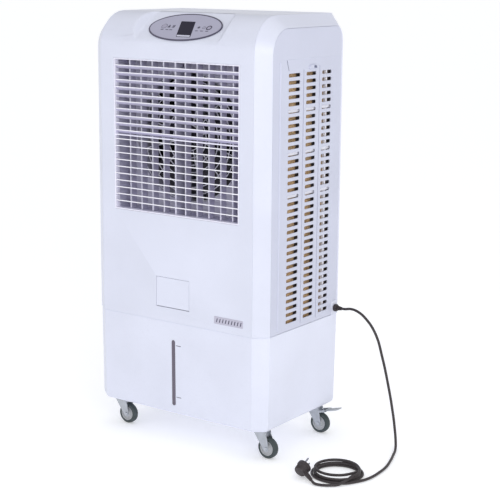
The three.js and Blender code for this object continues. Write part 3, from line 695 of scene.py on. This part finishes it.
def add_rear_cover():
    vents = [rounded(-0.110, 0.110, z, z + 0.009, 0.0035) for z in VENT_ROWS]
    wells = [moved(ellipse(0.0062, 0.0062, 28), x, z) for x, z in REAR_SCREWS]
    outline = rounded(-REAR_HALF, REAR_HALF, COVER_BOTTOM, REAR_TOP, 0.003)
    cover = bmesh.new()
    add_plate(cover, outline, vents + wells, BACK - 0.003, BACK, ON_BACK, 0.0009)
    piece("rear_cover_panel", cover, "casing", WHITE, ["rear_cover"])
    screws = bmesh.new()
    for x, z in REAR_SCREWS:
        add_lathe(screws, SCREW_PROFILE, along((-x, BACK - 0.0037, z), (0, 1, 0)), 24)
    piece("rear_screws", screws, "casing", STEEL)


# A near-black sheet behind the rear vents: painted shade seen through them.
def add_vent_shade_sheet():
    shade_sheet = bmesh.new()
    add_plate(shade_sheet, rounded(-0.125, 0.125, 0.768, 0.972, 0.006), [], 0.1800, 0.1822, ON_BACK, 0.0004)
    piece("vent_shade_sheet", shade_sheet, "casing", SHADE_SHEET)


add_rear_cover()
add_vent_shade_sheet()


# ---- louvres ----
SLAT_END = 0.0002


def add_pivots(bm, direction, half, reach, boss_radius):
    """A pin and its boss at each end of a louvre."""
    for sign in (-1, 1):
        add_rod(bm, sign * direction * (half - 0.002), sign * direction * reach, 0.0018, 12)
        add_rod(bm, sign * direction * (half - 0.004), sign * direction * (half + SLAT_END), boss_radius, 16)


def blade_mesh():
    bm = bmesh.new()
    chord = BLADE_CHORD / 2
    thick = 0.0015
    profile = (
        arc(chord - thick * 0.7, 0, thick * 0.7, -80, 80, 4)
        + arc(-chord + thick, 0, thick, 100, 260, 6)
    )
    add_plate(bm, profile, [], -BLADE_HALF, BLADE_HALF, ON_RIGHT, 0.0003, 1, both=True)
    add_pivots(bm, Vector((1, 0, 0)), BLADE_HALF, 0.2152, 0.0031)
    return finished("blade", bm)


def vane_mesh():
    bm = bmesh.new()
    thick = 0.0017
    profile = (
        arc(0, VANE_CHORD - VANE_LEAD - thick * 0.6, thick * 0.6, 10, 170, 4)
        + arc(0, -VANE_LEAD + thick, thick, 190, 350, 6)
    )
    add_plate(bm, profile, [], -VANE_HALF, VANE_HALF, Matrix.Identity(4), 0.0003, 1, both=True)
    add_pivots(bm, Vector((0, 0, 1)), VANE_HALF, 0.2110, 0.0032)
    return finished("vane", bm)


def add_louvre(node, mesh, material, centre, tilt, axis):
    turned = Matrix.Translation(centre) @ Matrix.Rotation(math.radians(-tilt), 4, axis)
    place(node + "_slat", mesh, BODY_OF[node], material, [node], turned)


def add_louvres():
    blade = blade_mesh()
    for bank, tilt in (("upper", UPPER_TILT), ("lower", LOWER_TILT)):
        for i in range(1, 11):
            node = f"{bank}_blade_{i}"
            low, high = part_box(node)
            add_louvre(node, blade, BLADE, (0, BLADE_AXIS_Y, (low.z + high.z) / 2), tilt, "X")
    vane = vane_mesh()
    for i, x in enumerate(VANE_CENTRES, 1):
        add_louvre(f"vane_{i}", vane, VANE, (x, VANE_AXIS_Y, OUTLET_MIDDLE), VANE_SWING, "Z")


add_louvres()


GUARD_RINGS = 8
GUARD_SPOKES = 12
GUARD_FIRST = 0.036
GUARD_PITCH = 0.0205
GUARD_Y = -0.1180
SPOKE_Y = -0.1161


def add_fan_guard():
    guard = bmesh.new()
    plane = along((0, GUARD_Y, OUTLET_MIDDLE), (0, 1, 0))
    for i in range(GUARD_RINGS):
        add_hoop(guard, GUARD_FIRST + GUARD_PITCH * i, 0.0015, plane)
    centre = Vector((0, SPOKE_Y, OUTLET_MIDDLE))
    for i in range(GUARD_SPOKES):
        angle = math.tau * (i + 0.5) / GUARD_SPOKES
        outward = Vector((math.cos(angle), 0, math.sin(angle)))
        add_rod(guard, centre + outward * 0.034, centre + outward * (SHROUD_RADIUS - 0.001), 0.0017, 8)
    piece("fan_guard", guard, "casing", WIRE)


add_fan_guard()


# ---- side covers, pads and their trays ----
COVER_INSIDE = 0.297
COVER_FIELD = 0.2992
COVER_FACE = 0.3
COVER_FRONT = -0.152
COVER_BACK = 0.180
COVER_TOP = 1.174
LEDGE = 1.093
RIDGE = -0.119


COVER_STEP_Y = 0.154
COVER_STEP_Z = 0.396
NOTCH = 0.004


def cover_top():
    return (
        arc(COVER_BACK - 0.032, COVER_TOP - 0.032, 0.032, 0, 90, 8)
        + arc(COVER_FRONT + 0.066, COVER_TOP - 0.066, 0.066, 90, 180, 12)
    )


def cover_outline():
    return [
        *cover_top(),
        Vector((COVER_FRONT, COVER_BOTTOM)),
        *arc(COVER_STEP_Y - NOTCH, COVER_BOTTOM + NOTCH, NOTCH, -90, 0, 3),
        *reversed(arc(COVER_STEP_Y + NOTCH, COVER_STEP_Z - NOTCH, NOTCH, 90, 180, 3)),
        Vector((COVER_BACK, COVER_STEP_Z)),
    ]


def add_side_cover(label, mirror):
    body = BODY_OF["side_cover_" + label]
    slots = [
        rounded(y0, y1, z - SLOT_HEIGHT / 2, z + SLOT_HEIGHT / 2, 0.0036, 3)
        for y0, y1 in SLOT_COLUMNS
        for z in (SLOT_FIRST + SLOT_PITCH * row for row in range(SLOT_ROWS))
    ]
    grooves = [
        rounded(-0.0083, -0.0059, 0.366, 1.064, 0.001, 2),
        rounded(0.0698, 0.0722, 0.366, 1.071, 0.001, 2),
    ]
    plate = bmesh.new()
    add_plate(plate, cover_outline(), slots + grooves, COVER_INSIDE, COVER_FIELD, ON_RIGHT, 0.0007)
    raised = [
        Vector((COVER_BACK, LEDGE)),
        *cover_top(),
        Vector((COVER_FRONT, COVER_BOTTOM)),
        Vector((RIDGE, COVER_BOTTOM)),
        *reversed(arc(RIDGE + 0.014, LEDGE - 0.014, 0.014, 90, 180, 6)),
    ]
    add_plate(plate, raised, [], COVER_FIELD - 0.0002, COVER_FACE, ON_RIGHT, 0.0007)
    add_rod(plate, (COVER_FIELD, RIDGE, 0.366), (COVER_FIELD, RIDGE, LEDGE - 0.004), 0.0036, 20, 0.0016)
    tab = sheared(millimetres((16, 1064), (56, 1064), (50, 1075), (22, 1075)), 0.004)
    add_plate(plate, tab, [], COVER_FIELD - 0.0002, COVER_FACE + 0.0026, ON_RIGHT, 0.0016)
    piece("side_cover_" + label + "_panel", plate, body, COVER_WHITE,
          ["side_cover_" + label], mirror)

    # Dark strips behind the grooves: painted shade seen through them.
    shade_marks = bmesh.new()
    behind = (COVER_INSIDE - 0.0012, COVER_INSIDE - 0.0001)
    for groove in grooves:
        add_plate(shade_marks, inset(groove, -0.002), [], *behind, ON_RIGHT, 0.0002)
    # A dark sliver on the field at the ledge's slanted end: a painted shadow.
    slit_shadow = sheared(millimetres((-80, 1064), (-78, 1064), (-87.6, 1092), (-90, 1092)), 0.0006)
    add_plate(shade_marks, slit_shadow, [], COVER_FIELD - 0.0004, COVER_FIELD + 0.0001, ON_RIGHT, 0.0001)
    # A dark patch on the finger tab: painted shade in the right part of its hollow.
    hollow_shade = sheared(millimetres((38, 1066), (53, 1066), (48.5, 1073), (38, 1073)), 0.002)
    add_plate(shade_marks, hollow_shade, [], COVER_FACE + 0.002, COVER_FACE + 0.0028, ON_RIGHT, 0.0002)
    piece("side_cover_" + label + "_shade_marks", shade_marks, body, GROOVE_SHADE, (), mirror)


PAD_FACE = 0.286
PAD_REAR = 0.252
PAD_RELIEF = 0.0035
FLUTE = 0.0092
SHEET = 0.014
PAD_COLUMNS = 84
PAD_ROWS = 240
TRAY_BACK = 0.2864


def relief(y, z):
    """How deep the pad's face lies, from 0 to 1: sheets whose flutes slant one way, then the other."""
    slanted = math.sin(math.tau * (z + 0.55 * y) / FLUTE)
    crossed = math.sin(math.tau * (z - 0.32 * y) / FLUTE)
    band = 0.5 + 0.5 * math.sin(math.tau * y / SHEET)
    return 0.5 + 0.5 * (slanted * band + crossed * (1 - band))


def add_pad(label, mirror):
    node = "cooling_pad_" + label
    body = BODY_OF[node]
    low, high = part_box(node)
    front, back = low.y, high.y
    bottom, top = low.z, high.z
    bm = bmesh.new()
    grid = []
    for i in range(PAD_ROWS + 1):
        z = bottom + (top - bottom) * i / PAD_ROWS
        line = []
        for j in range(PAD_COLUMNS + 1):
            y = front + (back - front) * j / PAD_COLUMNS
            edge = i in (0, PAD_ROWS) or j in (0, PAD_COLUMNS)
            x = PAD_FACE - (0.0004 if edge else PAD_RELIEF * relief(y, z))
            line.append(bm.verts.new((x, y, z)))
        grid.append(line)
    for i in range(PAD_ROWS):
        for j in range(PAD_COLUMNS):
            bm.faces.new((grid[i][j], grid[i][j + 1], grid[i + 1][j + 1], grid[i + 1][j]))
    border = (
        grid[0] + [line[-1] for line in grid[1:]] + list(reversed(grid[-1]))[1:]
        + [line[0] for line in reversed(grid[1:-1])]
    )
    behind = [bm.verts.new((PAD_REAR, vertex.co.y, vertex.co.z)) for vertex in border]
    bridge(bm, border, behind)
    bm.faces.new(behind)
    piece(node + "_block", bm, body, PAPER, [node], mirror, angle=60)

    tray = bmesh.new()
    outside = rounded(front - 0.006, back + 0.005, bottom - 0.005, top + 0.006, 0.005)
    opening = rounded(front + 0.004, back - 0.004, bottom + 0.006, top - 0.006, 0.004)
    add_plate(tray, outside, [opening], TRAY_BACK, 0.2950, ON_RIGHT, 0.0008)
    add_plate(tray, rounded(0.1105, 0.1175, bottom, top, 0.001), [], TRAY_BACK, 0.2938, ON_RIGHT, 0.0008)
    for row in (30, 24, 18):
        z = SLOT_FIRST + SLOT_PITCH * row
        bar = rounded(front, back, z - 0.004, z + 0.004, 0.001)
        add_plate(tray, bar, [], TRAY_BACK, 0.2932, ON_RIGHT, 0.0008)
    piece("pad_tray_" + label, tray, body, TRAY, (), mirror)

    # Dark strips on the pad's face, behind the rear part of each slot column: painted shade cast by the
    # cover's slots.
    ribs_and_shade_strips = bmesh.new()
    for y0, y1 in ((-0.024, -0.003), (0.056, 0.076), (0.132, 0.1415)):
        shade_strip = rounded(y0, y1, bottom + 0.008, top - 0.008, 0.001)
        add_plate(ribs_and_shade_strips, shade_strip, [], 0.2862, 0.2885, ON_RIGHT, 0.0006)
    piece("pad_shade_strips_" + label, ribs_and_shade_strips, body, PAD_SHADE, (), mirror)

    # A near-black sheet behind the pad: painted shade inside the casing.
    shade_sheet = bmesh.new()
    add_plate(shade_sheet, rounded(front, back, bottom, top, 0.003), [], 0.2502, 0.2517, ON_RIGHT, 0.0004)
    piece("pad_shade_sheet_" + label, shade_sheet, body, SHADE_SHEET, (), mirror)


for label, mirror in (("right", False), ("left", True)):
    add_side_cover(label, mirror)
    add_pad(label, mirror)


# ---- console ----
SLOPE = math.atan(0.77)
SLOPE_UP = Vector((0, math.cos(SLOPE), math.sin(SLOPE)))
SLOPE_OUT = Vector((0, -math.sin(SLOPE), math.cos(SLOPE)))
SLOPE_FOOT = Vector((0.002, -0.188, 1.131))
CONSOLE_UP = 0.0615
CONSOLE = axes(SLOPE_FOOT + SLOPE_UP * CONSOLE_UP, (1, 0, 0), SLOPE_UP, SLOPE_OUT)
OVAL_HALF = 0.122
OVAL_RISE = 0.055
LEFT_KEY = -0.071
TRIANGLE_X = -0.054
BARS_X = -0.039
DOT_X = 0.047
CIRCLE_X = 0.064
RIGHT_KEY = 0.081


def add_console():
    rim = bmesh.new()
    outer = ellipse(OVAL_HALF, OVAL_RISE)
    inner = inset(outer, 0.0036)
    add_plate(rim, outer, [inner], 0.0003, 0.0033, CONSOLE, 0.0009)
    piece("console_rim", rim, "casing", RIM)

    window = sheared(millimetres((-7, -41), (42, -41), (22, 23.3), (-27, 23.3)), 0.003)
    face = bmesh.new()
    add_plate(face, inset(outer, 0.0038), [window], 0.0003, 0.0028, CONSOLE, 0.0003)
    piece("console_face", face, "casing", SILVER, ["control_panel"])

    glass = bmesh.new()
    add_plate(glass, inset(window, 0.0003), [], 0.0005, 0.0025, CONSOLE, 0.0003)
    piece("console_display", glass, "casing", GLASS)

    strip = bmesh.new()
    low = sheared(millimetres((-5.5, -39), (38.5, -39), (36.7, -33), (-7.4, -33)), 0.001)
    add_plate(strip, low, [], 0.0024, 0.0028, CONSOLE, 0.0001)
    piece("console_strip", strip, "casing", LAMP)

    keys = bmesh.new()
    for x, radius in ((LEFT_KEY, 0.0078), (RIGHT_KEY, 0.0054)):
        add_plate(keys, moved(ellipse(radius, radius, 32), x, 0), [], 0.0027, 0.0034, CONSOLE, 0.0005)
    piece("console_keys", keys, "casing", KEY)
    add_console_marks()


def add_console_marks():
    marks = bmesh.new()

    def mark(loop, holes=()):
        add_plate(marks, loop, list(holes), 0.0026, 0.00295, CONSOLE, 0.00008, 1)

    for x, band in ((LEFT_KEY, 0.0011), (RIGHT_KEY, 0.0034)):
        ring = moved(ellipse(0.0092, 0.0092, 32), x, 0)
        mark(ring, [inset(ring, band)])
    triangle = sheared(millimetres((0, 7.8), (-5.5, -5), (5.5, -5)), 0.002)
    mark(moved(triangle, TRIANGLE_X, 0))
    for x in (BARS_X - 0.003, BARS_X, BARS_X + 0.003):
        mark(rounded(x - 0.0010, x + 0.0010, -0.006, 0.006, 0.0008, 2))
    mark(moved(ellipse(0.0042, 0.0042, 20), DOT_X, 0))
    circle = moved(ellipse(0.0046, 0.0046, 24), CIRCLE_X, 0)
    mark(circle, [inset(circle, 0.0012)])
    for x in (LEFT_KEY, TRIANGLE_X, BARS_X - 0.002, DOT_X, CIRCLE_X, RIGHT_KEY):
        mark(rounded(x - 0.0050, x + 0.0050, -0.0152, -0.0126, 0.0008, 2))
    piece("console_marks", marks, "casing", MARK)


add_console()


PARTING_Z = 0.356
TANK_FACE = 0.1845
TANK_LEAN = 3 / 270


def add_front_details():
    outline = rounded(0.136, 0.233, 0.377, 0.398, 0.0025)
    border = inset(outline, 0.0016)
    raised = (-FRONT + 0.0006, -FRONT + 0.0012)
    badge = bmesh.new()
    add_plate(badge, outline, [], -FRONT - 0.0004, -FRONT + 0.0008, ON_FRONT, 0.0004)
    add_plate(badge, border, [inset(border, 0.0012)], *raised, ON_FRONT, 0.0002)
    piece("front_badge", badge, "casing", BADGE)

    ribs_and_shade_strips = bmesh.new()
    bar = sheared(millimetres((-1.5, 382), (1.5, 382), (4.3, 393), (1.3, 393)), 0.0005)
    for i in range(9):
        add_plate(ribs_and_shade_strips, moved(bar, 0.1445 + 0.01 * i, 0), [], *raised, ON_FRONT, 0.0002)
    piece("badge_ribs", ribs_and_shade_strips, "casing", RIM)

    ticks = bmesh.new()
    for z in (0.290, 0.139):
        face = TANK_FACE - (PARTING_Z - z) * TANK_LEAN
        tick = rounded(0.001, 0.018, z - 0.0008, z + 0.0008, 0.0005, 2)
        add_plate(ticks, tick, [], face - 0.0003, face + 0.0004, ON_FRONT, 0.0002)
    piece("level_ticks", ticks, "casing", MARK)


add_front_details()


# ---- casters ----
WHEEL_RADIUS = 0.030
TRAIL = 0.022
FORK_TOP = 0.078
CHEEK = 0.0136


FORK_CROWN = [
    Vector((0.0235, 0.070)), Vector((0.020, FORK_TOP)), Vector((-0.020, FORK_TOP)), Vector((-0.019, 0.068)),
]
CHEEK_THICK = 0.002
BOLT_PROFILE = ((0, 0.0805), (0.004, 0.0805), (0.0052, 0.0812), (0.0052, 0.084), (0, 0.084))
NECK_PROFILE = (
    (0, 0.0765), (0.0175, 0.0765), (0.019, 0.0775), (0.019, 0.0792), (0.0172, 0.0800), (0.0165, 0.0812),
    (0.0178, 0.0822), (0.0178, 0.0836), (0, 0.0836),
)
NUT_PROFILE = ((0, -0.0002), (0.0052, -0.0002), (0.0052, 0.0022), (0.0045, 0.0030), (0, 0.0030))
TYRE_HALF = (
    (0.0205, -0.0088), (0.0245, -0.0095), (0.0275, -0.0088), (0.0293, -0.0066), (0.0299, -0.0030),
)
HUB_HALF = (
    (0.0046, -0.0100), (0.0080, -0.0100), (0.0088, -0.0088), (0.0100, -0.0060), (0.0182, -0.0060),
    (0.0196, -0.0088), (0.0206, -0.0092), (0.0208, -0.0080),
)


def mirrored(half, middle=()):
    """A wheel's profile, from the half below its middle plane."""
    return [*half, *middle, *((radius, -height) for radius, height in reversed(half))]


def add_caster_plate(label, home):
    plate = bmesh.new()
    base = rounded(-0.029, 0.029, -0.029, 0.029, 0.006)
    add_plate(plate, base, [], 0.0838, 0.0859, home, 0.0005, both=True)
    for x in (-0.021, 0.021):
        for y in (-0.021, 0.021):
            add_lathe(plate, BOLT_PROFILE, home @ Matrix.Translation((x, y, 0)), 6)
    piece("caster_plate_" + label, plate, "casing", ZINC)


def add_fork(label, home):
    node = "caster_fork_" + label
    standing = home @ ON_FRONT
    outline = (
        arc(TRAIL, WHEEL_RADIUS, 0.0095, 195, 350, 10) + [Vector((0.0265, 0.058))]
        + sheared(FORK_CROWN, 0.003)
    )
    fork = bmesh.new()
    for low in (-CHEEK, CHEEK - CHEEK_THICK):
        add_plate(fork, outline, [], low, low + CHEEK_THICK, standing, 0.0006, 2, both=True)
    crown = rounded(-0.020, 0.020, -CHEEK, CHEEK, 0.0015)
    add_plate(fork, crown, [], FORK_TOP - 0.0025, FORK_TOP, home, 0.0006, 2, both=True)
    add_lathe(fork, NECK_PROFILE, home, 40)
    for sign, segments in ((-1, 28), (1, 6)):
        outward = home.to_3x3() @ Vector((0, sign, 0))
        root = home @ Vector((TRAIL, sign * CHEEK, WHEEL_RADIUS))
        add_lathe(fork, NUT_PROFILE, along(root, outward), segments)
    piece("caster_" + label + "_fork", fork, BODY_OF[node], ZINC, [node])


def add_wheel(label, home):
    node = "caster_wheel_" + label
    axle = along(home @ Vector((TRAIL, 0, WHEEL_RADIUS)), home.to_3x3() @ Vector((0, 1, 0)))
    tyre = bmesh.new()
    add_lathe(tyre, mirrored(TYRE_HALF, [(WHEEL_RADIUS, 0)]), axle, 64, closed=True)
    piece("caster_" + label + "_tyre", tyre, BODY_OF[node], TYRE, [node])
    hub = bmesh.new()
    add_lathe(hub, mirrored(HUB_HALF), axle, 48, closed=True)
    piece("caster_" + label + "_hub", hub, BODY_OF[node], HUB)


PEDAL_PIVOT = (0.026, 0, 0.067)
PEDAL_TILT = -15
PEDAL_ARM = millimetres((-4, -3.5), (26, -3), (26, 3), (-4, 3.5))
ARM_INSIDE = 0.0139
ARM_THICK = 0.002


def add_pedal(label, home):
    node = "brake_pedal_" + label
    tilt = Matrix.Rotation(math.radians(PEDAL_TILT), 4, "Y")
    turned = home @ Matrix.Translation(PEDAL_PIVOT) @ tilt
    pedal = bmesh.new()
    tread = rounded(0.020, 0.064, -0.015, 0.015, 0.006, 5)
    add_plate(pedal, tread, [], -0.001, 0.0012, turned, 0.0007, 2, both=True)
    for x in (0.034, 0.041, 0.048, 0.055):
        start, end = (turned @ Vector((x, y, 0.0010)) for y in (-0.010, 0.010))
        add_rod(pedal, start, end, 0.0011, 8, 0.0004)
    outside = ARM_INSIDE + ARM_THICK
    crossbar = rounded(0.020, 0.0255, -outside, outside, 0.0008, 2)
    add_plate(pedal, crossbar, [], -0.002, 0.0028, turned, 0.0006, 2, both=True)
    arm = sheared(PEDAL_ARM, 0.002)
    for low in (-outside, ARM_INSIDE):
        add_plate(pedal, arm, [], low, low + ARM_THICK, turned @ ON_FRONT, 0.0005, 2, both=True)
    piece("caster_" + label + "_pedal", pedal, BODY_OF[node], ZINC, [node])


def add_caster(label, x, y, heading, braked):
    home = Matrix.Translation((x, y, 0)) @ Matrix.Rotation(heading, 4, "Z")
    add_caster_plate(label, home)
    add_fork(label, home)
    add_wheel(label, home)
    if braked:
        add_pedal(label, home)


for label, settings in CASTERS.items():
    add_caster(label, *settings)


# ---- studio ----
FLOOR_RADIUS = 90
FLOOR_DROP = 0.0004
FLOOR_GLOW = 0.31
# height in the sky, and how bright it is there
SKY_STOPS = ((0.0, 1.0), (0.19, 1.0), (0.34, 0.36), (0.7, 0.72), (1.0, 1.25))


def add_floor():
    bm = bmesh.new()
    bmesh.ops.create_circle(bm, cap_ends=True, radius=FLOOR_RADIUS, segments=96)
    mesh = bpy.data.meshes.new("studio_floor")
    bm.to_mesh(mesh)
    bm.free()
    floor = bpy.data.objects.new("studio_floor", mesh)
    floor.location.z = -FLOOR_DROP
    bpy.context.scene.collection.objects.link(floor)
    material = surface("floor_paper", (238, 239, 242), 0.9, mottle=0.002, grain=0.0, wear=0.0, dirt=0.0)
    shader = material.node_tree.nodes["Principled BSDF"]
    shader.inputs["Emission Color"].default_value = (1, 1, 1, 1)
    shader.inputs["Emission Strength"].default_value = FLOOR_GLOW
    shader.inputs["Specular IOR Level"].default_value = 0.1
    mesh.materials.append(material)


def add_world():
    world = bpy.data.worlds.new("studio")
    world.use_nodes = True
    bpy.context.scene.world = world
    tree = world.node_tree
    background = tree.nodes["Background"]
    coords = tree.nodes.new("ShaderNodeTexCoord")
    split = tree.nodes.new("ShaderNodeSeparateXYZ")
    tree.links.new(coords.outputs["Generated"], split.inputs["Vector"])
    ramp = tree.nodes.new("ShaderNodeValToRGB")
    while len(ramp.color_ramp.elements) < len(SKY_STOPS):
        ramp.color_ramp.elements.new(0.5)
    for element, (position, level) in zip(ramp.color_ramp.elements, SKY_STOPS):
        element.position = position
        element.color = (level, level, level, 1.0)
    tree.links.new(split.outputs["Z"], ramp.inputs["Fac"])
    tree.links.new(ramp.outputs["Color"], background.inputs["Strength"])
    background.inputs["Color"].default_value = (0.985, 0.99, 1.0, 1.0)


def add_light(name, position, target, size, power):
    data = bpy.data.lights.new(name, "AREA")
    data.size = size
    data.energy = power
    light = bpy.data.objects.new(name, data)
    bpy.context.scene.collection.objects.link(light)
    direction = Vector(target) - Vector(position)
    turn = direction.to_track_quat("-Z", "Y").to_matrix().to_4x4()
    light.matrix_world = Matrix.Translation(position) @ turn


add_floor()
add_world()
add_light("key", (3.3, -2.8, 1.9), (0, 0, 0.65), 1.8, 50)
add_light("fill", (-2.6, -3.0, 1.4), (0, 0, 0.6), 1.8, 3)
bpy.context.scene.view_settings.view_transform = "Standard"
